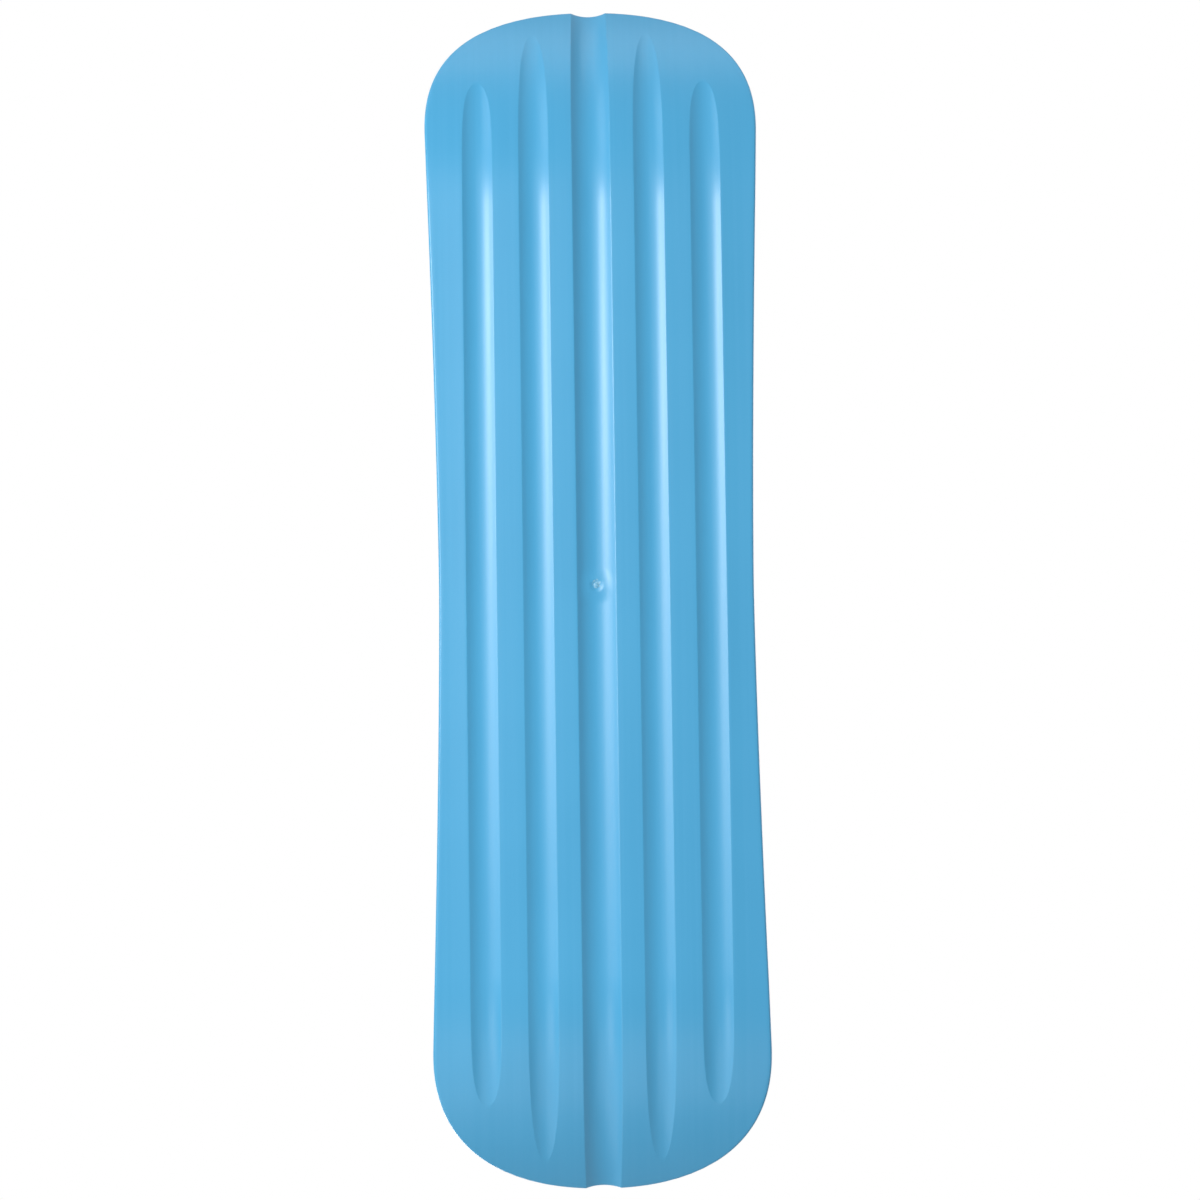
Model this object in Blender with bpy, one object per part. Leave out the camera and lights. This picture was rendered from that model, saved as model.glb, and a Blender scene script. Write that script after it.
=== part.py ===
"""A snowskate: one moulded plastic deck with five running channels, and foam grip strips on its top.

The deck is drawn flat, with x across it and s along its underside, and is then bent up at nose and tail.
+Y points to the nose, +X to the rider's right and +Z up. The lands between the channels rest at z = 0.
"""

import math

import bmesh
import bpy
from mathutils import Vector

# Outline of the deck, drawn flat, in metres
HALF_LENGTH = 0.3696
CAP_LENGTH = 0.0956
FLARE = 0.0060
FLARE_AT = 0.2700
FLARE_POWER = 1.47
CAP_POWER = 2.18

# Lands of the underside, from the centre channel out to the side at the waist
INNER_LAND = 0.0140
OUTER_LAND = 0.0158
RIM_LAND = 0.0162

# Section of the deck
WALL = 0.0040
EDGE_ROUND = 0.0014
CENTRE_CHANNEL_WIDTH = 0.0230
CENTRE_CHANNEL_DEPTH = 0.0038
SIDE_CHANNEL_WIDTH = 0.0180
SIDE_CHANNEL_DEPTH = 0.0022
CHANNEL_LIP = 0.0015
RIB_FILLET = 0.0010

# Run-outs of the channels, measured along the deck
CENTRE_TIP_DEPTH = 0.0030
CENTRE_RUN_OUT = 0.0900
CENTRE_FULLNESS = 2
INNER_END_TO_TIP = 0.0217
INNER_RUN_OUT = 0.1000
INNER_FULLNESS = 3
OUTER_END_TO_TIP = 0.0604
OUTER_RUN_OUT = 0.0800
OUTER_FULLNESS = 5

# Upturned nose and tail
KICK_LENGTH = 0.1396
KICK_RADIUS = 0.1906

# Gate well of the moulding, in the floor of the centre channel
GATE_WELL_RADIUS = 0.0045
GATE_WELL_DEPTH = 0.0007
GATE_NUB_RADIUS = 0.0016
GATE_NUB_HEIGHT = 0.0006
GATE_CUTTER_REACH = 0.0030

# Foam grip strips
GRIP_THICKNESS = 0.0050
GRIP_GLUE_GAP = 0.0003
GRIP_SIDE_GAP = 0.0007
GRIP_TO_EDGE = 0.0040
GRIP_TO_MIDDLE = 0.0400
GRIP_TO_TIP = 0.0615
GRIP_CORNER = 0.0040
GRIP_ROUND = 0.0010

# How finely the forms are cut into faces
FLAT_STEPS = 5
KICK_STEPS = 3
CAP_STEPS = 12
GRIP_KICK_STEPS = 5
ARC_STEPS = 3
RIM_STEPS = 2
ROUND_STEPS = 2
CORNER_STEPS = 4
GATE_STEPS = 24
BISECTIONS = 50

CORNER_SHARE = 0.70
RUN_OUT_FLOOR_SHARE = 0.12
GRIP_CORNER_LIMIT_SHARE = 0.45
SMOOTH_ANGLE = math.radians(30)

# Places that follow from the sizes above
INNER_CENTRE = CENTRE_CHANNEL_WIDTH / 2 + INNER_LAND + SIDE_CHANNEL_WIDTH / 2
OUTER_CENTRE = INNER_CENTRE + SIDE_CHANNEL_WIDTH + OUTER_LAND
HALF_WAIST = OUTER_CENTRE + SIDE_CHANNEL_WIDTH / 2 + RIM_LAND
CAP_START = HALF_LENGTH - CAP_LENGTH
KICK_START = HALF_LENGTH - KICK_LENGTH


class Channel:
    """A running channel: its centre line, the arc of its section and how it runs out towards a tip."""

    def __init__(self, centre, width, full_depth):
        self.centre = centre
        self.full_depth = full_depth
        self.radius = (width ** 2 / 4 + full_depth ** 2) / (2 * full_depth)

    def run_out_to(self, end, end_depth, run_out, fullness):
        """Sets where the channel ends, how deep it is there and how the floor rises to that."""
        self.end = end
        self.lost_depth = self.full_depth - end_depth
        self.run_out = run_out
        self.fullness = fullness
        return self

    def depth(self, s):
        """Depth at a station. The floor leaves its full depth in a curve and has its end depth at the end."""
        left = (self.end - abs(s)) / self.run_out
        left = min(max(left, 0), 1)
        return self.full_depth - self.lost_depth * (1 - left) ** self.fullness


class Face:
    """One face of the deck: the height of its lands, and the arcs that each channel makes in it."""

    def __init__(self, land, crest_growth, fillet):
        self.land = land
        self.crest_growth = crest_growth
        self.fillet = fillet

    def foot(self, channel, depth):
        """Half the width of a channel or rib where its fillet meets the land."""
        radius = channel.radius + self.crest_growth + self.fillet
        return math.sqrt(depth * (2 * radius - depth))

    def tangent_share(self, channel):
        """Where the crest arc ends and the fillet begins, as a share of the foot."""
        crest = channel.radius + self.crest_growth
        return crest / (crest + self.fillet)

    def rise(self, channel, offset, s):
        """How far the channel lifts this face at an offset from its centre line."""
        depth = channel.depth(s)
        foot = self.foot(channel, depth)
        offset = abs(offset)
        if offset >= foot:
            return 0.0
        crest = channel.radius + self.crest_growth
        if offset <= foot * self.tangent_share(channel):
            return math.sqrt(crest ** 2 - offset ** 2) - (crest - depth)
        return self.fillet - math.sqrt(self.fillet ** 2 - (foot - offset) ** 2)

    def height(self, x, s):
        """Height of the face above the plane of the lands, before the deck is bent."""
        return self.land + max(self.rise(channel, abs(x) - channel.centre, s) for channel in CHANNELS)


CENTRE_CHANNEL = Channel(0, CENTRE_CHANNEL_WIDTH, CENTRE_CHANNEL_DEPTH).run_out_to(
    HALF_LENGTH, CENTRE_TIP_DEPTH, CENTRE_RUN_OUT, CENTRE_FULLNESS
)
INNER_CHANNEL = Channel(INNER_CENTRE, SIDE_CHANNEL_WIDTH, SIDE_CHANNEL_DEPTH).run_out_to(
    HALF_LENGTH - INNER_END_TO_TIP, 0, INNER_RUN_OUT, INNER_FULLNESS
)
OUTER_CHANNEL = Channel(OUTER_CENTRE, SIDE_CHANNEL_WIDTH, SIDE_CHANNEL_DEPTH).run_out_to(
    HALF_LENGTH - OUTER_END_TO_TIP, 0, OUTER_RUN_OUT, OUTER_FULLNESS
)
CHANNELS = (CENTRE_CHANNEL, INNER_CHANNEL, OUTER_CHANNEL)
UNDERSIDE = Face(0, 0, CHANNEL_LIP)
TOP = Face(WALL, WALL, RIB_FILLET)


def half_width(s, inset):
    """Half the width of the outline at a station, drawn in by an inset."""
    s = abs(s)
    side = HALF_WAIST + FLARE * (s / FLARE_AT) ** FLARE_POWER - inset
    into_cap = (s - CAP_START) / (CAP_LENGTH - inset)
    into_cap = min(max(into_cap, 0), 1)
    return side * (1 - into_cap ** CAP_POWER) ** (1 / CAP_POWER)


def bend(x, s, height):
    """World place of a point of the flat deck, once nose and tail are turned up."""
    arc = max(abs(s) - KICK_START, 0)
    angle = arc / KICK_RADIUS
    y = min(abs(s), KICK_START) + (KICK_RADIUS - height) * math.sin(angle)
    z = KICK_RADIUS - (KICK_RADIUS - height) * math.cos(angle)
    return Vector((x, math.copysign(y, s), z))


def steps(start, end, count):
    """Values from just after the start to the end, evenly spaced."""
    return [start + (end - start) * k / count for k in range(1, count + 1)]


def common_stations():
    """Stations from the middle to the start of the cap."""
    return [0] + steps(0, KICK_START, FLAT_STEPS) + steps(KICK_START, CAP_START, KICK_STEPS)


def column_offsets(face, channel, s):
    """Offsets of the columns of one channel from its centre line, which draw in as it runs out."""
    least = channel.full_depth * RUN_OUT_FLOOR_SHARE
    foot = face.foot(channel, max(channel.depth(s), least))
    tangent = foot * face.tangent_share(channel)
    outer = steps(0, tangent, ARC_STEPS) + [foot]
    return [-offset for offset in reversed(outer)] + [0] + outer


def interior_columns(face, s):
    """Places across the deck of all columns from its middle to the foot of the outer channel."""
    places = [offset for offset in column_offsets(face, CENTRE_CHANNEL, s) if offset >= 0]
    for channel in (INNER_CHANNEL, OUTER_CHANNEL):
        own = [channel.centre + offset for offset in column_offsets(face, channel, s)]
        mid_land = (places[-1] + own[0]) / 2
        places += [mid_land] + own
    return places


def cap_end(face, column):
    """Station where a column meets the inset outline of the cap, found by halving."""
    low = CAP_START
    high = HALF_LENGTH - EDGE_ROUND
    for _ in range(BISECTIONS):
        middle = (low + high) / 2
        if half_width(middle, EDGE_ROUND) > interior_columns(face, middle)[column]:
            low = middle
        else:
            high = middle
    return low


def outline_point(s):
    """A point of the inset outline."""
    return Vector((half_width(s, EDGE_ROUND), s))


def rim_row(inner, s):
    """Points of the rim at a station of the straight part, from the outer channel to the side."""
    outer = outline_point(s)
    return [inner.lerp(outer, k / RIM_STEPS) for k in range(1, RIM_STEPS + 1)]


def rim_patch_point(inner_line, end, corner, across, along):
    """A point of the rim beside the cap, blended from the four curves that bound it."""
    start_inner = inner_line[0]
    start_outer = outline_point(CAP_START)
    left = inner_line[round(along * CAP_STEPS)]
    right = outline_point(CAP_START + (corner - CAP_START) * along)
    near = start_inner.lerp(start_outer, across)
    far = outline_point(end + (corner - end) * across)
    straight_far = outline_point(end).lerp(outline_point(corner), across)
    return left.lerp(right, across) + near.lerp(far, along) - near.lerp(straight_far, along)


def quarter_plan(face):
    """Rows of flat points with x and s at zero or above: one row for each station, from the middle out."""
    rows = []
    for s in common_stations():
        row = [Vector((x, s)) for x in interior_columns(face, s)]
        rows.append(row + rim_row(row[-1], s))
    count = len(interior_columns(face, 0))
    ends = [cap_end(face, column) for column in range(count)]
    for along in steps(0, 1, CAP_STEPS):
        row = []
        for column, end in enumerate(ends):
            s = CAP_START + (end - CAP_START) * along
            row.append(Vector((interior_columns(face, s)[column], s)))
        rows.append(row)
    inner_line = [row[count - 1] for row in rows[-CAP_STEPS - 1:]]
    corner = CAP_START + (ends[-1] - CAP_START) * CORNER_SHARE
    for row, along in zip(rows[-CAP_STEPS:], steps(0, 1, CAP_STEPS)):
        for across in steps(0, 1, RIM_STEPS):
            row.append(rim_patch_point(inner_line, ends[-1], corner, across, along))
    return rows


def whole_plan(face):
    """The whole flat plan: rows from the tail to the nose, each from the left side to the right."""
    nose = []
    for row in quarter_plan(face):
        nose.append([Vector((-point.x, point.y)) for point in reversed(row[1:])] + row)
    tail = [[Vector((point.x, -point.y)) for point in row] for row in reversed(nose[1:])]
    return tail + nose


def perimeter(rows):
    """The points or vertices along the border of a grid, in order round it."""
    right = [row[-1] for row in rows[1:-1]]
    left = [row[0] for row in reversed(rows[1:-1])]
    return rows[0] + right + rows[-1][::-1] + left


def outward_directions(loop):
    """Unit directions away from a closed flat loop, one at each point."""
    directions = []
    for k, point in enumerate(loop):
        along = loop[(k + 1) % len(loop)] - loop[k - 1]
        directions.append(Vector((along.y, -along.x)).normalized())
    return directions


def edge_rings(face, loop, into_wall):
    """Points of the rounded edge, in rings from beside the face out to the side of the deck."""
    rings = []
    directions = outward_directions(loop)
    for k in range(1, ROUND_STEPS + 1):
        angle = math.pi / 2 * k / ROUND_STEPS
        out = EDGE_ROUND * math.sin(angle)
        step_in = EDGE_ROUND * (1 - math.cos(angle)) * into_wall
        ring = []
        for point, direction in zip(loop, directions):
            moved = point + direction * out
            ring.append(bend(moved.x, moved.y, face.height(point.x, point.y) + step_in))
        rings.append(ring)
    return rings


def add_grid(mesh, rows):
    """Adds a sheet of four-sided faces over rows of points and returns its vertices."""
    vertices = [[mesh.verts.new(point) for point in row] for row in rows]
    for lower, upper in zip(vertices, vertices[1:]):
        for k in range(len(lower) - 1):
            mesh.faces.new((lower[k], lower[k + 1], upper[k + 1], upper[k]))
    return vertices


def join_rings(mesh, rings):
    """Adds a band of faces between each ring of vertices and the next."""
    for first, second in zip(rings, rings[1:]):
        for k in range(len(first)):
            mesh.faces.new((first[k - 1], first[k], second[k], second[k - 1]))


def finished(mesh, name, material):
    """Turns a closed bmesh into an object with triangles that face out."""
    bmesh.ops.triangulate(mesh, faces=mesh.faces[:], quad_method="SHORT_EDGE", ngon_method="BEAUTY")
    bmesh.ops.recalc_face_normals(mesh, faces=mesh.faces[:])
    data = bpy.data.meshes.new(name)
    mesh.to_mesh(data)
    mesh.free()
    data.shade_smooth()
    data.set_sharp_from_angle(angle=SMOOTH_ANGLE)
    data.materials.append(material)
    piece = bpy.data.objects.new(name, data)
    bpy.context.scene.collection.objects.link(piece)
    return piece


def make_material(name, colour, roughness):
    """A plain plastic or foam finish."""
    material = bpy.data.materials.new(name)
    material.use_nodes = True
    shader = material.node_tree.nodes["Principled BSDF"]
    shader.inputs["Base Color"].default_value = (*colour, 1)
    shader.inputs["Roughness"].default_value = roughness
    shader.inputs["Metallic"].default_value = 0
    return material


def make_deck(material):
    """The moulded deck: two faces that follow the channels, closed by a rounded edge all round."""
    mesh = bmesh.new()
    rings = []
    for face, into_wall in ((UNDERSIDE, 1), (TOP, -1)):
        plan = whole_plan(face)
        lifted = [[bend(point.x, point.y, face.height(point.x, point.y)) for point in row] for row in plan]
        border = perimeter(add_grid(mesh, lifted))
        edge = edge_rings(face, perimeter(plan), into_wall)
        edge = [[mesh.verts.new(point) for point in ring] for ring in edge]
        own_rings = [border] + edge
        rings += own_rings if face is UNDERSIDE else own_rings[::-1]
    join_rings(mesh, rings)
    return finished(mesh, "deck", material)


def turned_solid(name, profile, material):
    """A closed solid turned about the Z axis from a profile that starts and ends on the axis."""
    mesh = bmesh.new()
    first = mesh.verts.new((0, 0, profile[0][1]))
    last = mesh.verts.new((0, 0, profile[-1][1]))
    rings = []
    for radius, z in profile[1:-1]:
        ring = []
        for k in range(GATE_STEPS):
            angle = 2 * math.pi * k / GATE_STEPS
            ring.append(mesh.verts.new((radius * math.cos(angle), radius * math.sin(angle), z)))
        rings.append(ring)
    join_rings(mesh, rings)
    for k in range(GATE_STEPS):
        mesh.faces.new((first, rings[0][k - 1], rings[0][k]))
        mesh.faces.new((last, rings[-1][k], rings[-1][k - 1]))
    return finished(mesh, name, material)


def cut_gate_well(deck, material):
    """Sinks the round gate well into the floor of the centre channel and leaves its nub standing."""
    floor = CENTRE_CHANNEL_DEPTH + GATE_WELL_DEPTH
    nub_end = floor - GATE_NUB_HEIGHT
    cutter_end = CENTRE_CHANNEL_DEPTH - GATE_CUTTER_REACH
    profile = (
        (0, nub_end),
        (GATE_NUB_RADIUS, nub_end),
        (GATE_NUB_RADIUS, floor),
        (GATE_WELL_RADIUS, floor),
        (GATE_WELL_RADIUS, cutter_end),
        (0, cutter_end),
    )
    cutter = turned_solid("gate_cutter", profile, material)
    cutter.hide_render = True
    cutter.display_type = "WIRE"
    cut = deck.modifiers.new("gate_well", "BOOLEAN")
    cut.operation = "DIFFERENCE"
    cut.solver = "EXACT"
    cut.object = cutter


def corner_rows(end, inward, inner_edge, outer_edge):
    """Rows of station, inner edge and outer edge over the rounded corners at one end of a strip."""
    radius = min(GRIP_CORNER, GRIP_CORNER_LIMIT_SHARE * (outer_edge(end) - inner_edge(end)))
    rows = []
    for k in range(CORNER_STEPS + 1):
        angle = math.pi / 2 * k / CORNER_STEPS
        s = end + inward * radius * (1 - math.cos(angle))
        drawn_in = radius * (1 - math.sin(angle))
        rows.append((s, inner_edge(s) + drawn_in, outer_edge(s) - drawn_in))
    return rows


def strip_rows(inner_edge, outer_edge):
    """Rows of station, inner edge and outer edge from the middle of the deck to the tip end of a strip."""
    end = HALF_LENGTH - GRIP_TO_TIP
    near = corner_rows(GRIP_TO_MIDDLE, 1, inner_edge, outer_edge)
    far = corner_rows(end, -1, inner_edge, outer_edge)[::-1]
    stations = steps(0, KICK_START, FLAT_STEPS) + steps(KICK_START, end, GRIP_KICK_STEPS)
    between = [s for s in stations if near[-1][0] < s < far[0][0]]
    return near + [(s, inner_edge(s), outer_edge(s)) for s in between] + far


def strip_section(inner, outer):
    """Section of a strip as places across the deck and heights: flat below, rounded at its upper edges."""
    bottom = WALL + GRIP_GLUE_GAP
    top = bottom + GRIP_THICKNESS
    radius = min(GRIP_ROUND, GRIP_CORNER_LIMIT_SHARE * (outer - inner))
    rounding = []
    for k in range(ROUND_STEPS + 1):
        angle = math.pi / 2 * k / ROUND_STEPS
        rounding.append((radius * (1 - math.cos(angle)), top - radius * (1 - math.sin(angle))))
    right = [(outer - drawn_in, height) for drawn_in, height in rounding]
    left = [(inner + drawn_in, height) for drawn_in, height in reversed(rounding)]
    return [(inner, bottom), (outer, bottom)] + right + left


def make_grip(name, inner_edge, outer_edge, side, way, material):
    """One foam strip in a trough of the top, on one side and towards one tip, bent with the deck."""
    mesh = bmesh.new()
    rings = []
    for s, inner, outer in strip_rows(inner_edge, outer_edge):
        section = strip_section(inner, outer)
        rings.append([mesh.verts.new(bend(side * x, way * s, height)) for x, height in section])
    join_rings(mesh, rings)
    mesh.faces.new(rings[0])
    mesh.faces.new(rings[-1])
    return finished(mesh, name, material)


def make_grips(material):
    """Twelve strips: three troughs on each side of the centre rib, for the front foot and the rear foot."""
    centre_foot = TOP.foot(CENTRE_CHANNEL, CENTRE_CHANNEL_DEPTH)
    side_foot = TOP.foot(INNER_CHANNEL, SIDE_CHANNEL_DEPTH)
    troughs = {
        "inner": (
            lambda s: centre_foot + GRIP_SIDE_GAP,
            lambda s: INNER_CENTRE - side_foot - GRIP_SIDE_GAP,
        ),
        "middle": (
            lambda s: INNER_CENTRE + side_foot + GRIP_SIDE_GAP,
            lambda s: OUTER_CENTRE - side_foot - GRIP_SIDE_GAP,
        ),
        "outer": (
            lambda s: OUTER_CENTRE + side_foot + GRIP_SIDE_GAP,
            lambda s: half_width(s, GRIP_TO_EDGE),
        ),
    }
    for foot_name, way in (("front", 1), ("rear", -1)):
        for side_name, side in (("left", -1), ("right", 1)):
            for trough_name, (inner_edge, outer_edge) in troughs.items():
                name = f"grip_{foot_name}_{side_name}_{trough_name}"
                make_grip(name, inner_edge, outer_edge, side, way, material)


def main():
    for piece in list(bpy.data.objects):
        bpy.data.objects.remove(piece, do_unlink=True)
    plastic = make_material("blue_plastic", (0.11, 0.44, 0.76), 0.3)
    foam = make_material("dark_foam", (0.035, 0.037, 0.042), 0.9)
    deck = make_deck(plastic)
    cut_gate_well(deck, plastic)
    make_grips(foam)


main()
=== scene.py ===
import math

import bmesh
import bpy
from mathutils import Matrix, Vector


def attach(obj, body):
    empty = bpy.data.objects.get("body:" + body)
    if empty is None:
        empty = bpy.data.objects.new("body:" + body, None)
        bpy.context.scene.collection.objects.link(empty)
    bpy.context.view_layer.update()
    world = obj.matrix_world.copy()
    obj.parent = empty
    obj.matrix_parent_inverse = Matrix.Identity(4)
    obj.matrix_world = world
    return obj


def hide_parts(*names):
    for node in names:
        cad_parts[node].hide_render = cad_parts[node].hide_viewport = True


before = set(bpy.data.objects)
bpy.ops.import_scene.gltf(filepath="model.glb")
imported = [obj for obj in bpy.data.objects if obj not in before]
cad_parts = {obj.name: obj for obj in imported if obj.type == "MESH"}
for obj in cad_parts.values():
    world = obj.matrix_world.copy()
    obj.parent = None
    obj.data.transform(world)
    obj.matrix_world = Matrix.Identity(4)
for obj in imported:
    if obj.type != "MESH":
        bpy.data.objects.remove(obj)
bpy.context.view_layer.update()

# Outline and section of the deck, drawn flat, in metres, as in the CAD
HALF_LENGTH = 0.3696
CAP_LENGTH = 0.0956
FLARE = 0.0060
FLARE_AT = 0.2700
FLARE_POWER = 1.47
CAP_POWER = 2.18
INNER_LAND = 0.0140
OUTER_LAND = 0.0158
RIM_LAND = 0.0162
WALL = 0.0040
EDGE_ROUND = 0.0014
CENTRE_CHANNEL_WIDTH = 0.0230
CENTRE_CHANNEL_DEPTH = 0.0038
SIDE_CHANNEL_WIDTH = 0.0180
SIDE_CHANNEL_DEPTH = 0.0022
CHANNEL_LIP = 0.0015
RIB_FILLET = 0.0010
CENTRE_TIP_DEPTH = 0.0030
CENTRE_RUN_OUT = 0.0900
CENTRE_FULLNESS = 2
INNER_END_TO_TIP = 0.0217
INNER_RUN_OUT = 0.1000
INNER_FULLNESS = 3
OUTER_END_TO_TIP = 0.0604
OUTER_RUN_OUT = 0.0800
OUTER_FULLNESS = 5
KICK_LENGTH = 0.1396
KICK_RADIUS = 0.1906

# Gate well in the floor of the centre channel, with a low swelling round it
GATE_WELL_RADIUS = 0.0045
GATE_WELL_BEVEL = 0.0028
GATE_WELL_DEPTH = 0.0006
GATE_NUB_RADIUS = 0.0016
GATE_NUB_BEVEL = 0.0009
GATE_NUB_HEIGHT = 0.0003
SWELLING_RADIUS = 0.0118
SWELLING_HEIGHT = 0.0008

# Mesh round the gate: a window of rows this far apart, filled with rings
GATE_STEP = 0.0014
GATE_STEPS = 5
GATE_RINGS = 26
SWELLING_STEPS = 10

# Each rim of the underside rises faintly from the outer channel, most at a share of the way out
RIM_RISE = 0.0003
RIM_CREST_SHARE = 0.80
RIM_RISE_FADE = 0.0400

# Foam grip strips
GRIP_THICKNESS = 0.0050
GRIP_SEAT = 0.00005
GRIP_SIDE_GAP = 0.0007
GRIP_TO_EDGE = 0.0040
GRIP_TO_MIDDLE = 0.0400
GRIP_TO_TIP = 0.0615
GRIP_CORNER = 0.0040
GRIP_ROUND = 0.0010
GRIP_DROOP = 0.0003

# How finely the forms are cut into faces
FLAT_STEPS = 44
KICK_STEPS = 14
CAP_STEPS = 52
ARC_STEPS = 8
LIP_STEPS = 4
LAND_STEPS = 4
RIM_STEPS = 10
ROUND_STEPS = 6
BISECTIONS = 50
GRIP_STEPS = 52
GRIP_ACROSS = 10
GRIP_CORNER_STEPS = 9
GRIP_ROUND_STEPS = 5

# Where the mesh turns its corner in the cap, the least depth of a drawn channel, the largest strip corner
CORNER_SHARE = 0.70
RUN_OUT_FLOOR_SHARE = 0.06
GRIP_CORNER_LIMIT_SHARE = 0.45

# Places that follow from the sizes above
INNER_CENTRE = CENTRE_CHANNEL_WIDTH / 2 + INNER_LAND + SIDE_CHANNEL_WIDTH / 2
OUTER_CENTRE = INNER_CENTRE + SIDE_CHANNEL_WIDTH + OUTER_LAND
HALF_WAIST = OUTER_CENTRE + SIDE_CHANNEL_WIDTH / 2 + RIM_LAND
CAP_START = HALF_LENGTH - CAP_LENGTH
KICK_START = HALF_LENGTH - KICK_LENGTH


# The deck

def smooth_share(share):
    """A share from 0 to 1 that leaves 0 and reaches 1 gently."""
    share = min(max(share, 0), 1)
    return share * share * (3 - 2 * share)


class Channel:
    """A running channel: its centre line, its arc of a section and how it runs out towards a tip."""

    def __init__(self, centre, width, full_depth):
        self.centre = centre
        self.full_depth = full_depth
        self.radius = (width ** 2 / 4 + full_depth ** 2) / (2 * full_depth)

    def run_out_to(self, end, end_depth, run_out, fullness):
        self.end = end
        self.lost_depth = self.full_depth - end_depth
        self.run_out = run_out
        self.fullness = fullness
        return self

    def depth(self, s):
        left = (self.end - abs(s)) / self.run_out
        left = min(max(left, 0), 1)
        return self.full_depth - self.lost_depth * (1 - left) ** self.fullness


class Face:
    """One face of the deck: the height of its lands, and the arcs that each channel makes in it."""

    def __init__(self, land, crest_growth, fillet, swelling, rim_rise):
        self.land = land
        self.crest_growth = crest_growth
        self.fillet = fillet
        self.swelling = swelling
        self.rim_rise = rim_rise

    def foot(self, channel, depth):
        radius = channel.radius + self.crest_growth + self.fillet
        return math.sqrt(depth * (2 * radius - depth))

    def tangent_share(self, channel):
        crest = channel.radius + self.crest_growth
        return crest / (crest + self.fillet)

    def rise(self, channel, offset, s):
        depth = channel.depth(s)
        foot = self.foot(channel, depth)
        offset = abs(offset)
        if offset >= foot:
            return 0.0
        crest = channel.radius + self.crest_growth
        if offset <= foot * self.tangent_share(channel):
            return math.sqrt(crest ** 2 - offset ** 2) - (crest - depth)
        return self.fillet - math.sqrt(self.fillet ** 2 - (foot - offset) ** 2)

    def height(self, x, s):
        rise = max(self.rise(channel, abs(x) - channel.centre, s) for channel in CHANNELS)
        from_gate = min((x ** 2 + s ** 2) / SWELLING_RADIUS ** 2, 1)
        height = self.land + rise - self.swelling * (1 - from_gate) ** 2
        return height + self.rim_rise * self.rim_share(x, s)

    def rim_share(self, x, s):
        """How much of its full rise the rim has at a place."""
        inner = OUTER_CENTRE + self.foot(OUTER_CHANNEL, SIDE_CHANNEL_DEPTH)
        across = (abs(x) - inner) / (half_width(s, EDGE_ROUND) - inner)
        fade = 1 - smooth_share((abs(s) - CAP_START) / RIM_RISE_FADE)
        if fade == 0 or across <= 0:
            return 0
        return (1 - (1 - min(across, 1) / RIM_CREST_SHARE) ** 2) * fade


CENTRE_CHANNEL = Channel(0, CENTRE_CHANNEL_WIDTH, CENTRE_CHANNEL_DEPTH).run_out_to(
    HALF_LENGTH, CENTRE_TIP_DEPTH, CENTRE_RUN_OUT, CENTRE_FULLNESS
)
INNER_CHANNEL = Channel(INNER_CENTRE, SIDE_CHANNEL_WIDTH, SIDE_CHANNEL_DEPTH).run_out_to(
    HALF_LENGTH - INNER_END_TO_TIP, 0, INNER_RUN_OUT, INNER_FULLNESS
)
OUTER_CHANNEL = Channel(OUTER_CENTRE, SIDE_CHANNEL_WIDTH, SIDE_CHANNEL_DEPTH).run_out_to(
    HALF_LENGTH - OUTER_END_TO_TIP, 0, OUTER_RUN_OUT, OUTER_FULLNESS
)
CHANNELS = (CENTRE_CHANNEL, INNER_CHANNEL, OUTER_CHANNEL)
UNDERSIDE = Face(0, 0, CHANNEL_LIP, SWELLING_HEIGHT, RIM_RISE)
TOP = Face(WALL, WALL, RIB_FILLET, 0, 0)


def half_width(s, inset):
    """Half the width of the outline at a station, drawn in by an inset."""
    s = abs(s)
    side = HALF_WAIST + FLARE * (s / FLARE_AT) ** FLARE_POWER - inset
    into_cap = (s - CAP_START) / (CAP_LENGTH - inset)
    into_cap = min(max(into_cap, 0), 1)
    return side * (1 - into_cap ** CAP_POWER) ** (1 / CAP_POWER)


def bend(x, s, height):
    """World place of a point of the flat deck, once nose and tail are turned up."""
    arc = max(abs(s) - KICK_START, 0)
    angle = arc / KICK_RADIUS
    y = min(abs(s), KICK_START) + (KICK_RADIUS - height) * math.sin(angle)
    z = KICK_RADIUS - (KICK_RADIUS - height) * math.cos(angle)
    return Vector((x, math.copysign(y, s), z))


def steps(start, end, count):
    """Values from just after the start to the end, evenly spaced."""
    return [start + (end - start) * k / count for k in range(1, count + 1)]


def common_stations():
    """Stations from the middle to the start of the cap, close together beside the gate well."""
    window = GATE_STEP * GATE_STEPS
    stations = [0] + steps(0, window, GATE_STEPS) + steps(window, SWELLING_RADIUS, SWELLING_STEPS)
    stations += steps(SWELLING_RADIUS, KICK_START, FLAT_STEPS)
    return stations + steps(KICK_START, CAP_START, KICK_STEPS)


def column_offsets(face, channel, s):
    """Offsets of the columns of one channel from its centre line, which draw in as it runs out."""
    least = channel.full_depth * RUN_OUT_FLOOR_SHARE
    foot = face.foot(channel, max(channel.depth(s), least))
    tangent = foot * face.tangent_share(channel)
    outer = steps(0, tangent, ARC_STEPS) + steps(tangent, foot, LIP_STEPS)
    return [-offset for offset in reversed(outer)] + [0] + outer


def interior_columns(face, s):
    """Places across the deck of all columns from its middle to the foot of the outer channel."""
    places = [offset for offset in column_offsets(face, CENTRE_CHANNEL, s) if offset >= 0]
    for channel in (INNER_CHANNEL, OUTER_CHANNEL):
        own = [channel.centre + offset for offset in column_offsets(face, channel, s)]
        places += steps(places[-1], own[0], LAND_STEPS)[:-1] + own
    return places


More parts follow.
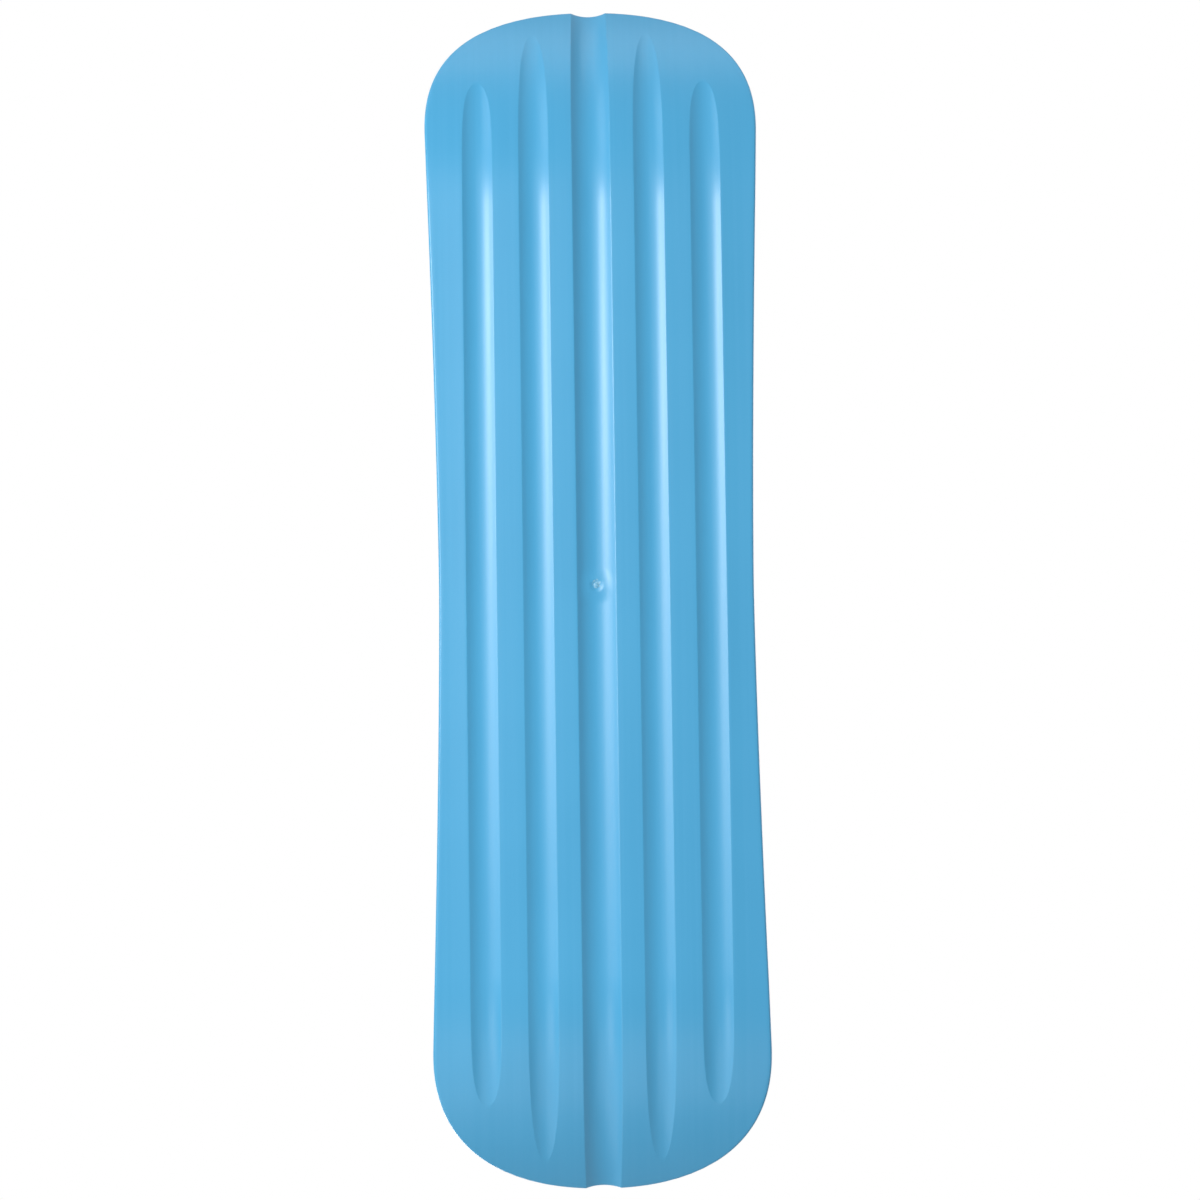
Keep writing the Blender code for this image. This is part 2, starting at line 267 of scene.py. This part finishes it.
def cap_end(face, column):
    """Station where a column meets the inset outline of the cap, found by halving."""
    low = CAP_START
    high = HALF_LENGTH - EDGE_ROUND
    for _ in range(BISECTIONS):
        middle = (low + high) / 2
        if half_width(middle, EDGE_ROUND) > interior_columns(face, middle)[column]:
            low = middle
        else:
            high = middle
    return low


def outline_point(s):
    """A point of the inset outline."""
    return Vector((half_width(s, EDGE_ROUND), s))


def rim_row(inner, s):
    """Points of the rim at a station of the straight part, from the outer channel to the side."""
    outer = outline_point(s)
    return [inner.lerp(outer, k / RIM_STEPS) for k in range(1, RIM_STEPS + 1)]


def rim_patch_point(inner_line, end, corner, across, along):
    """A point of the rim beside the cap, blended from the four curves that bound it."""
    start_inner = inner_line[0]
    start_outer = outline_point(CAP_START)
    left = inner_line[round(along * CAP_STEPS)]
    right = outline_point(CAP_START + (corner - CAP_START) * along)
    near = start_inner.lerp(start_outer, across)
    far = outline_point(end + (corner - end) * across)
    straight_far = outline_point(end).lerp(outline_point(corner), across)
    return left.lerp(right, across) + near.lerp(far, along) - near.lerp(straight_far, along)


def quarter_plan(face):
    """Rows of flat points with x and s at zero or above: one row for each station, from the middle out."""
    rows = []
    for s in common_stations():
        row = [Vector((x, s)) for x in interior_columns(face, s)]
        rows.append(row + rim_row(row[-1], s))
    count = len(interior_columns(face, 0))
    ends = [cap_end(face, column) for column in range(count)]
    for along in steps(0, 1, CAP_STEPS):
        row = []
        for column, end in enumerate(ends):
            s = CAP_START + (end - CAP_START) * along
            row.append(Vector((interior_columns(face, s)[column], s)))
        rows.append(row)
    inner_line = [row[count - 1] for row in rows[-CAP_STEPS - 1:]]
    corner = CAP_START + (ends[-1] - CAP_START) * CORNER_SHARE
    for row, along in zip(rows[-CAP_STEPS:], steps(0, 1, CAP_STEPS)):
        for across in steps(0, 1, RIM_STEPS):
            row.append(rim_patch_point(inner_line, ends[-1], corner, across, along))
    return rows


def whole_plan(face):
    """The whole flat plan: rows from the tail to the nose, each from the left side to the right."""
    nose = []
    for row in quarter_plan(face):
        nose.append([Vector((-point.x, point.y)) for point in reversed(row[1:])] + row)
    tail = [[Vector((point.x, -point.y)) for point in row] for row in reversed(nose[1:])]
    return tail + nose


def perimeter(rows):
    """The points or vertices along the border of a grid, in order round it."""
    right = [row[-1] for row in rows[1:-1]]
    left = [row[0] for row in reversed(rows[1:-1])]
    return rows[0] + right + rows[-1][::-1] + left


def outward_directions(loop):
    """Unit directions away from a closed flat loop, one at each point."""
    directions = []
    for k, point in enumerate(loop):
        along = loop[(k + 1) % len(loop)] - loop[k - 1]
        directions.append(Vector((along.y, -along.x)).normalized())
    return directions


def edge_rings(face, loop, into_wall):
    """Points of the rounded edge, in rings from beside the face out to the side of the deck."""
    rings = []
    directions = outward_directions(loop)
    for k in range(1, ROUND_STEPS + 1):
        angle = math.pi / 2 * k / ROUND_STEPS
        out = EDGE_ROUND * math.sin(angle)
        step_in = EDGE_ROUND * (1 - math.cos(angle)) * into_wall
        ring = []
        for point, direction in zip(loop, directions):
            moved = point + direction * out
            ring.append(bend(moved.x, moved.y, face.height(point.x, point.y) + step_in))
        rings.append(ring)
    return rings


def add_grid(mesh, rows, window=None):
    """Adds a sheet of four-sided faces over rows of points, but for a window, and returns its vertices."""
    vertices = [[mesh.verts.new(point) for point in row] for row in rows]
    for j, (lower, upper) in enumerate(zip(vertices, vertices[1:])):
        for k in range(len(lower) - 1):
            if window and window[0] <= j < window[1] and window[2] <= k < window[3]:
                continue
            mesh.faces.new((lower[k], lower[k + 1], upper[k + 1], upper[k]))
    return vertices


def join_rings(mesh, rings):
    """Adds a band of faces between each ring of vertices and the next."""
    for first, second in zip(rings, rings[1:]):
        for k in range(len(first)):
            mesh.faces.new((first[k - 1], first[k], second[k], second[k - 1]))


def link_object(name, data):
    """Adds an object with this data to the scene."""
    made = bpy.data.objects.new(name, data)
    bpy.context.scene.collection.objects.link(made)
    return made


def finished(mesh, name, material):
    """Turns a closed bmesh into a smooth piece that rides on the root body."""
    bmesh.ops.recalc_face_normals(mesh, faces=mesh.faces[:])
    data = bpy.data.meshes.new(name)
    mesh.to_mesh(data)
    mesh.free()
    data.shade_smooth()
    data.materials.append(material)
    piece = link_object(name, data)
    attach(piece, "root")
    return piece


def gate_depth(radius):
    """How far the gate well sinks below the floor of the channel at a distance from its centre."""
    well = smooth_share((GATE_WELL_RADIUS - radius) / GATE_WELL_BEVEL)
    nub = smooth_share((GATE_NUB_RADIUS - radius) / GATE_NUB_BEVEL)
    return GATE_WELL_DEPTH * well - GATE_NUB_HEIGHT * nub


def gate_rings(mesh, window_loop):
    """Rings of vertices from the window in the underside down into the gate well and over its nub."""
    angles = [math.atan2(vertex.co.y, vertex.co.x) for vertex in window_loop]
    circle = [Vector((math.cos(angle), math.sin(angle))) for angle in angles]
    rings = [window_loop]
    for share in (1 / 3, 2 / 3):
        points = [v.co.xy.lerp(way * GATE_WELL_RADIUS, share) for v, way in zip(window_loop, circle)]
        rings.append([mesh.verts.new((p.x, p.y, UNDERSIDE.height(p.x, p.y))) for p in points])
    for k in range(GATE_RINGS):
        radius = GATE_WELL_RADIUS * (1 - k / GATE_RINGS)
        points = [way * radius for way in circle]
        depth = gate_depth(radius)
        rings.append([mesh.verts.new((p.x, p.y, UNDERSIDE.height(p.x, p.y) + depth)) for p in points])
    return rings


def sink_gate_well(mesh, vertices):
    """Fills the window in the underside with the gate well."""
    j = len(vertices) // 2
    k = len(vertices[j]) // 2
    low_j, high_j, low_k, high_k = j - GATE_STEPS, j + GATE_STEPS, k - GATE_STEPS, k + GATE_STEPS
    block = [row[low_k:high_k + 1] for row in vertices[low_j:high_j + 1]]
    for row in block[1:-1]:
        for vertex in row[1:-1]:
            mesh.verts.remove(vertex)
    ends = [block[0]] + [[row[0], row[-1]] for row in block[1:-1]] + [block[-1]]
    rings = gate_rings(mesh, perimeter(ends))
    join_rings(mesh, rings)
    tip = mesh.verts.new((0, 0, UNDERSIDE.height(0, 0) + gate_depth(0)))
    for k in range(len(rings[-1])):
        mesh.faces.new((tip, rings[-1][k - 1], rings[-1][k]))


def make_deck(material):
    """The moulded deck: two faces that follow the channels, closed by a rounded edge all round."""
    mesh = bmesh.new()
    rings = []
    for face, into_wall in ((UNDERSIDE, 1), (TOP, -1)):
        plan = whole_plan(face)
        lifted = [[bend(point.x, point.y, face.height(point.x, point.y)) for point in row] for row in plan]
        window = None
        if face is UNDERSIDE:
            j = len(plan) // 2
            k = len(plan[j]) // 2
            window = (j - GATE_STEPS, j + GATE_STEPS, k - GATE_STEPS, k + GATE_STEPS)
        vertices = add_grid(mesh, lifted, window)
        border = perimeter(vertices)
        if face is UNDERSIDE:
            sink_gate_well(mesh, vertices)
        edge = edge_rings(face, perimeter(plan), into_wall)
        edge = [[mesh.verts.new(point) for point in ring] for ring in edge]
        own_rings = [border] + edge
        rings += own_rings if face is UNDERSIDE else own_rings[::-1]
    join_rings(mesh, rings)
    deck = finished(mesh, "deck_moulding", material)
    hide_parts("deck")


# The foam grip strips

def corner_rows(end, inward, inner_edge, outer_edge):
    """Rows of station, inner edge and outer edge over the rounded corners at one end of a strip."""
    radius = min(GRIP_CORNER, GRIP_CORNER_LIMIT_SHARE * (outer_edge(end) - inner_edge(end)))
    rows = []
    for k in range(GRIP_CORNER_STEPS + 1):
        angle = math.pi / 2 * k / GRIP_CORNER_STEPS
        s = end + inward * radius * (1 - math.cos(angle))
        drawn_in = radius * (1 - math.sin(angle))
        rows.append((s, inner_edge(s) + drawn_in, outer_edge(s) - drawn_in))
    return rows


def strip_rows(inner_edge, outer_edge):
    """Rows of station, inner edge and outer edge from the middle of the deck to the tip end of a strip."""
    end = HALF_LENGTH - GRIP_TO_TIP
    near = corner_rows(GRIP_TO_MIDDLE, 1, inner_edge, outer_edge)
    far = corner_rows(end, -1, inner_edge, outer_edge)[::-1]
    between = steps(near[-1][0], far[0][0], GRIP_STEPS)[:-1]
    return near + [(s, inner_edge(s), outer_edge(s)) for s in between] + far


def make_grip(name, inner_edge, outer_edge, side, way, material):
    """One foam strip: a die-cut plan with a rounded, slightly drooping upper edge, bent with the deck."""
    rows = strip_rows(inner_edge, outer_edge)
    plan = [[Vector((inner, s)), Vector((outer, s))] for s, inner, outer in rows]
    for row in (plan[0], plan[-1]):
        row[1:1] = [row[0].lerp(row[1], k / GRIP_ACROSS) for k in range(1, GRIP_ACROSS)]
    loop = perimeter(plan)
    directions = outward_directions(loop)
    bottom = WALL + GRIP_SEAT
    top = bottom + GRIP_THICKNESS
    mesh = bmesh.new()

    def place(point, height):
        return mesh.verts.new(bend(side * point.x, way * point.y, height))

    rings = [[place(point, bottom) for point in loop]]
    for k in range(GRIP_ROUND_STEPS + 1):
        angle = math.pi / 2 * k / GRIP_ROUND_STEPS
        drawn_in = GRIP_ROUND * (1 - math.cos(angle))
        height = top - GRIP_DROOP - GRIP_ROUND * (1 - math.sin(angle))
        rings.append([place(p - d * drawn_in, height) for p, d in zip(loop, directions)])
    join_rings(mesh, rings)
    for ring, crown in ((rings[0], 0), (rings[-1], GRIP_DROOP)):
        fill_strip(mesh, ring, len(plan), crown)
    strip = finished(mesh, "foam_" + name, material)
    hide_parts("grip_" + name)


def fill_strip(mesh, ring, row_count, crown):
    """Fills a strip's loop with rows of faces across it, raised in the middle by a crown."""
    across = GRIP_ACROSS
    sides = row_count - 2
    first = ring[:across + 1]
    right = ring[across + 1:across + 1 + sides]
    last = ring[across + 1 + sides:2 * across + 2 + sides][::-1]
    left = ring[2 * across + 2 + sides:][::-1]
    rows = [first]
    for j, (a, b) in enumerate(zip(left, right)):
        share = min(j + 1, sides - j, GRIP_CORNER_STEPS) / GRIP_CORNER_STEPS
        along = 1 - (1 - share) ** 2
        row = [a]
        for k in range(1, across):
            place = k / across
            lift = crown * along * (1 - (2 * place - 1) ** 4)
            point = a.co.lerp(b.co, place)
            up = Vector((0, -math.copysign(1, point.y) * slope_at(point.y), 1)).normalized()
            row.append(mesh.verts.new(point + up * lift))
        rows.append(row + [b])
    rows.append(last)
    for lower, upper in zip(rows, rows[1:]):
        for k in range(across):
            mesh.faces.new((lower[k], lower[k + 1], upper[k + 1], upper[k]))


def slope_at(y):
    """Slope of the deck at a distance along it, in the world."""
    run = max(abs(y) - KICK_START, 0)
    return math.tan(math.asin(min(run / KICK_RADIUS, 1)))


def make_grips(material):
    """Twelve strips: three troughs on each side of the centre rib, for the front foot and the rear foot."""
    centre_foot = TOP.foot(CENTRE_CHANNEL, CENTRE_CHANNEL_DEPTH)
    side_foot = TOP.foot(INNER_CHANNEL, SIDE_CHANNEL_DEPTH)
    troughs = {
        "inner": (
            lambda s: centre_foot + GRIP_SIDE_GAP,
            lambda s: INNER_CENTRE - side_foot - GRIP_SIDE_GAP,
        ),
        "middle": (
            lambda s: INNER_CENTRE + side_foot + GRIP_SIDE_GAP,
            lambda s: OUTER_CENTRE - side_foot - GRIP_SIDE_GAP,
        ),
        "outer": (
            lambda s: OUTER_CENTRE + side_foot + GRIP_SIDE_GAP,
            lambda s: half_width(s, GRIP_TO_EDGE),
        ),
    }
    for foot_name, way in (("front", 1), ("rear", -1)):
        for side_name, side in (("left", -1), ("right", 1)):
            for trough_name, (inner_edge, outer_edge) in troughs.items():
                name = f"{foot_name}_{side_name}_{trough_name}"
                make_grip(name, inner_edge, outer_edge, side, way, material)


# Materials

# Linear colours of the moulded plastic and the foam
DECK_BLUE = (0.056, 0.410, 0.730)
DECK_CLOUD_BLUE = (0.062, 0.424, 0.748)
DECK_FLOW_BLUE = (0.072, 0.440, 0.765)
TORN_BLUE = (0.400, 0.680, 0.800)
FOAM_CELL_GREY = (0.024, 0.025, 0.029)
FOAM_WALL_GREY = (0.046, 0.048, 0.054)
FOAM_CLOUD_GREY = (0.036, 0.037, 0.042)

# Refraction and sheen of the two surfaces
DECK_IOR = 1.60
FOAM_IOR = 1.45
FOAM_SHEEN = 0.15

# Torn, whitened plastic at the gate, in metres: its place along and up, where it starts to fade, its end
TORN_ALONG = 0.0012
TORN_UP = 0.0038
TORN_CORE = 0.0022
TORN_RADIUS = 0.0052
# It is this much flatter than a ball, so that it doesn't reach the top of the deck
TORN_FLATNESS = 3


class Graph:
    """A material's nodes, with short calls to add and join them."""

    def __init__(self, name):
        self.material = bpy.data.materials.new(name)
        self.material.use_nodes = True
        self.tree = self.material.node_tree
        self.shader = self.tree.nodes["Principled BSDF"]
        self.place = self.add("ShaderNodeTexCoord").outputs["Object"]

    def add(self, kind, inputs=(), **settings):
        node = self.tree.nodes.new(kind)
        for key, value in settings.items():
            setattr(node, key, value)
        for key, value in dict(inputs).items():
            if isinstance(value, bpy.types.NodeSocket):
                self.tree.links.new(value, node.inputs[key])
            else:
                node.inputs[key].default_value = value
        return node

    def stretched(self, scale, moved=(0, 0, 0)):
        inputs = {"Vector": self.place, "Scale": scale, "Location": moved}
        return self.add("ShaderNodeMapping", inputs).outputs["Vector"]

    def noise(self, scale, detail=2, roughness=0.5, vector=None):
        inputs = {"Vector": vector or self.place, "Scale": scale, "Detail": detail, "Roughness": roughness}
        return self.add("ShaderNodeTexNoise", inputs).outputs["Fac"]

    def ranged(self, value, from_low, from_high, to_low, to_high, smooth=False):
        inputs = {"Value": value, "From Min": from_low, "From Max": from_high,
                  "To Min": to_low, "To Max": to_high}
        kind = "SMOOTHSTEP" if smooth else "LINEAR"
        return self.add("ShaderNodeMapRange", inputs, interpolation_type=kind).outputs["Result"]

    def maths(self, operation, first, second):
        return self.add("ShaderNodeMath", {0: first, 1: second}, operation=operation).outputs["Value"]

    def mix(self, factor, first, second):
        node = self.add("ShaderNodeMix", {"Factor": factor}, data_type="RGBA")
        for key, value in ((6, first), (7, second)):
            if isinstance(value, bpy.types.NodeSocket):
                self.tree.links.new(value, node.inputs[key])
            else:
                node.inputs[key].default_value = (*value, 1)
        return node.outputs[2]

    def bump(self, height, distance, normal=None):
        inputs = {"Height": height, "Distance": distance, "Strength": 1.0}
        if normal is not None:
            inputs["Normal"] = normal
        return self.add("ShaderNodeBump", inputs).outputs["Normal"]

    def finish(self, colour, roughness, normal, **constants):
        for key, socket in (("Base Color", colour), ("Roughness", roughness), ("Normal", normal)):
            self.tree.links.new(socket, self.shader.inputs[key])
        for key, value in constants.items():
            self.shader.inputs[key.replace("_", " ")].default_value = value
        return self.material


def torn_plastic(graph):
    """A mottled share that is high on the torn plastic at the gate, and zero away from it."""
    moved = (0, -TORN_ALONG, -TORN_UP * TORN_FLATNESS)
    offset = graph.stretched((1, 1, TORN_FLATNESS), moved)
    distance = graph.add("ShaderNodeVectorMath", {0: offset}, operation="LENGTH").outputs["Value"]
    near_gate = graph.ranged(distance, TORN_CORE, TORN_RADIUS, 1, 0, smooth=True)
    return graph.maths("MULTIPLY", near_gate, graph.noise(900, 3, 0.6))


def deck_plastic():
    """Light blue moulded polyethylene: soft gloss, faint flow and rubbing, and a torn, whitened gate."""
    graph = Graph("deck_plastic")
    clouds = graph.noise(9, 2)
    flow = graph.noise(1, 3, 0.55, graph.stretched((260, 2.2, 2.2)))
    cloud_share = graph.ranged(clouds, 0.35, 0.65, 0, 1, smooth=True)
    colour = graph.mix(cloud_share, DECK_BLUE, DECK_CLOUD_BLUE)
    flow_share = graph.ranged(flow, 0.40, 0.62, 0, 1, smooth=True)
    colour = graph.mix(graph.maths("MULTIPLY", flow_share, 0.30), colour, DECK_FLOW_BLUE)
    torn = torn_plastic(graph)
    torn_share = graph.ranged(torn, 0.34, 0.60, 0, 0.55, smooth=True)
    colour = graph.mix(torn_share, colour, TORN_BLUE)
    rub = graph.noise(1, 4, 0.6, graph.stretched((900, 9, 9)))
    rough = graph.ranged(clouds, 0.3, 0.7, 0.28, 0.32)
    rough = graph.maths("ADD", rough, graph.ranged(rub, 0.52, 0.75, 0, 0.05))
    skin = graph.noise(420, 2, 0.5)
    grain = graph.noise(2600, 2, 0.6)
    normal = graph.bump(skin, 0.000010)
    normal = graph.bump(grain, 0.0000020, normal=normal)
    normal = graph.bump(rub, 0.0000015, normal=normal)
    normal = graph.bump(torn, 0.00030, normal=normal)
    return graph.finish(colour, rough, normal, IOR=DECK_IOR, Metallic=0.0)


def grip_foam():
    """Dark closed-cell foam: matt, with fine cells and a slightly uneven skin."""
    graph = Graph("grip_foam")
    cells = graph.add("ShaderNodeTexVoronoi", {"Vector": graph.place, "Scale": 1500}).outputs["Distance"]
    clouds = graph.noise(60, 3)
    fine = graph.noise(2200, 3, 0.65)
    cell_share = graph.ranged(cells, 0.05, 0.6, 0, 1)
    colour = graph.mix(cell_share, FOAM_CELL_GREY, FOAM_WALL_GREY)
    cloud_share = graph.ranged(clouds, 0.3, 0.7, 0, 0.5)
    colour = graph.mix(cloud_share, colour, FOAM_CLOUD_GREY)
    rough = graph.ranged(fine, 0.3, 0.7, 0.82, 0.95)
    normal = graph.bump(cells, 0.00008)
    normal = graph.bump(fine, 0.00003, normal=normal)
    normal = graph.bump(clouds, 0.00010, normal=normal)
    return graph.finish(colour, rough, normal, IOR=FOAM_IOR, Metallic=0.0, Sheen_Weight=FOAM_SHEEN)


# Stage, light and camera

FLOOR_HALF_SIZE = 3.0
FLOOR_DROP = 0.0002
FLOOR_COLOUR = (0.93, 0.93, 0.93, 1)
FLOOR_ROUGHNESS = 0.9
FLOOR_FADE_START = 0.9
FLOOR_FADE_END = 2.9
WORLD_LEVEL = 0.21
# A diffuse depth below this is that of light on its first matt surface
FIRST_BOUNCE = 0.5

CAMERA_DISTANCE = 2.6
FOCAL_PIXELS = 4382.7
PICTURE_PIXELS = 1200
SENSOR_WIDTH = 36.0
CLIP_START = 0.1
CLIP_END = 50
PITCH = math.radians(5.780)
YAW = math.radians(0.687)
ROLL = math.radians(0.767)
ORIGIN_PIXEL = (596.55, 584.67)

# Each lamp: name, place in metres, width and height in metres, power in watts
LAMPS = (
    ("key_below", (0.857, 0.226, -0.951), 1.00, 0.68, 6.9),
    ("core_below", (0.750, 0.369, -0.995), 0.42, 0.36, 4.2),
    ("front_below", (0.325, 0.336, -1.213), 0.61, 0.84, 1.7),
    ("nose_side_below", (0.646, 0.966, -0.582), 0.50, 0.50, 1.1),
    ("nose_below", (0.000, 1.280, -0.226), 0.80, 0.44, 1.2),
    ("tail_side_below", (0.591, -0.996, -0.591), 0.80, 0.80, 1.8),
    ("tail_near_below", (0.300, -0.450, -0.550), 0.25, 0.25, 0.36),
    ("tail_end_below", (0.000, -0.550, -0.400), 0.30, 0.30, 0.20),
    ("key_above", (2.270, -2.470, 3.710), 3.00, 3.00, 160.0),
    ("fill_above", (-3.620, 1.360, 3.170), 4.40, 4.40, 95.0),
)
LAMP_AIM = Vector((0, 0, 0))


def make_floor():
    """A pale floor with the board's shadow, seen from above only, that fades to white far out."""
    data = bpy.data.meshes.new("floor")
    half = FLOOR_HALF_SIZE
    corners = [(-half, -half, -FLOOR_DROP), (half, -half, -FLOOR_DROP),
               (half, half, -FLOOR_DROP), (-half, half, -FLOOR_DROP)]
    data.from_pydata(corners, [], [(0, 1, 2, 3)])
    floor = link_object("floor", data)
    for ray in ("diffuse", "glossy", "transmission", "volume_scatter", "shadow"):
        setattr(floor, "visible_" + ray, False)
    material = bpy.data.materials.new("floor")
    material.use_nodes = True
    tree = material.node_tree
    shader = tree.nodes["Principled BSDF"]
    shader.inputs["Base Color"].default_value = FLOOR_COLOUR
    shader.inputs["Roughness"].default_value = FLOOR_ROUGHNESS
    shader.inputs["Specular IOR Level"].default_value = 0.0
    place = tree.nodes.new("ShaderNodeTexCoord")
    distance = tree.nodes.new("ShaderNodeVectorMath")
    distance.operation = "LENGTH"
    tree.links.new(place.outputs["Object"], distance.inputs[0])
    fade = tree.nodes.new("ShaderNodeMapRange")
    fade.interpolation_type = "SMOOTHSTEP"
    fade.inputs["From Min"].default_value = FLOOR_FADE_START
    fade.inputs["From Max"].default_value = FLOOR_FADE_END
    tree.links.new(distance.outputs["Value"], fade.inputs["Value"])
    white = tree.nodes.new("ShaderNodeEmission")
    pale = tree.nodes.new("ShaderNodeMixShader")
    tree.links.new(fade.outputs["Result"], pale.inputs["Fac"])
    tree.links.new(shader.outputs["BSDF"], pale.inputs[1])
    tree.links.new(white.outputs["Emission"], pale.inputs[2])
    clear = tree.nodes.new("ShaderNodeBsdfTransparent")
    geometry = tree.nodes.new("ShaderNodeNewGeometry")
    seen = tree.nodes.new("ShaderNodeMixShader")
    tree.links.new(geometry.outputs["Backfacing"], seen.inputs["Fac"])
    tree.links.new(pale.outputs["Shader"], seen.inputs[1])
    tree.links.new(clear.outputs["BSDF"], seen.inputs[2])
    tree.links.new(seen.outputs["Shader"], tree.nodes["Material Output"].inputs["Surface"])
    data.materials.append(material)


def make_world():
    """An even white surround: a plain level on the object, and white to the camera and in gloss."""
    world = bpy.data.worlds.new("surround")
    bpy.context.scene.world = world
    world.use_nodes = True
    tree = world.node_tree
    background = tree.nodes["Background"]
    background.inputs["Color"].default_value = (1, 1, 1, 1)
    path = tree.nodes.new("ShaderNodeLightPath")
    seen = path.outputs["Is Camera Ray"]
    for ray in ("Is Glossy Ray", "Is Transmission Ray"):
        either = tree.nodes.new("ShaderNodeMath")
        either.operation = "MAXIMUM"
        tree.links.new(seen, either.inputs[0])
        tree.links.new(path.outputs[ray], either.inputs[1])
        seen = either.outputs["Value"]
    level = tree.nodes.new("ShaderNodeMapRange")
    level.inputs["To Min"].default_value = WORLD_LEVEL
    tree.links.new(seen, level.inputs["Value"])
    tree.links.new(level.outputs["Result"], background.inputs["Strength"])


def light_first_surface_only(data):
    """Ends a lamp's light at the first matt surface, so that no blue is thrown onto the floor."""
    data.use_nodes = True
    tree = data.node_tree
    path = tree.nodes.new("ShaderNodeLightPath")
    first = tree.nodes.new("ShaderNodeMath")
    first.operation = "LESS_THAN"
    first.inputs[1].default_value = FIRST_BOUNCE
    tree.links.new(path.outputs["Diffuse Depth"], first.inputs[0])
    tree.links.new(first.outputs["Value"], tree.nodes["Emission"].inputs["Strength"])
    data.cycles.use_multiple_importance_sampling = False


def make_lamps():
    """Soft boxes aimed at the deck, level across it, which the camera itself doesn't see."""
    for name, place, width, height, power in LAMPS:
        data = bpy.data.lights.new(name, "AREA")
        data.shape = "RECTANGLE"
        data.size = width
        data.size_y = height
        data.energy = power
        lamp = link_object(name, data)
        away = (Vector(place) - LAMP_AIM).normalized()
        across = Vector((0, 1, 0)).cross(away).normalized()
        turn = Matrix((across, away.cross(across), away)).transposed()
        lamp.matrix_world = Matrix.Translation(place) @ turn.to_4x4()
        lamp.visible_camera = False
        if place[2] < 0:
            light_first_surface_only(data)


def make_camera():
    """The photograph's view: the underside from below, nose up in the picture, tail a little nearer."""
    ahead = Vector((-math.sin(YAW) * math.cos(PITCH), math.sin(PITCH), math.cos(YAW) * math.cos(PITCH)))
    across = Vector((-math.cos(YAW), 0, -math.sin(YAW)))
    up = Vector((math.sin(YAW) * math.sin(PITCH), math.cos(PITCH), -math.cos(YAW) * math.sin(PITCH)))
    right = across * math.cos(ROLL) - up * math.sin(ROLL)
    above = across * math.sin(ROLL) + up * math.cos(ROLL)
    data = bpy.data.cameras.new("camera")
    data.sensor_width = SENSOR_WIDTH
    data.lens = SENSOR_WIDTH * FOCAL_PIXELS / PICTURE_PIXELS
    data.shift_x = (PICTURE_PIXELS / 2 - ORIGIN_PIXEL[0]) / PICTURE_PIXELS
    data.shift_y = (ORIGIN_PIXEL[1] - PICTURE_PIXELS / 2) / PICTURE_PIXELS
    data.clip_start = CLIP_START
    data.clip_end = CLIP_END
    camera = link_object("camera", data)
    turn = Matrix((right, above, -ahead)).transposed()
    camera.matrix_world = Matrix.Translation(-ahead * CAMERA_DISTANCE) @ turn.to_4x4()
    bpy.context.scene.camera = camera


make_camera()
make_deck(deck_plastic())
make_grips(grip_foam())
make_floor()
make_world()
make_lamps()
bpy.context.scene.view_settings.view_transform = "Standard"
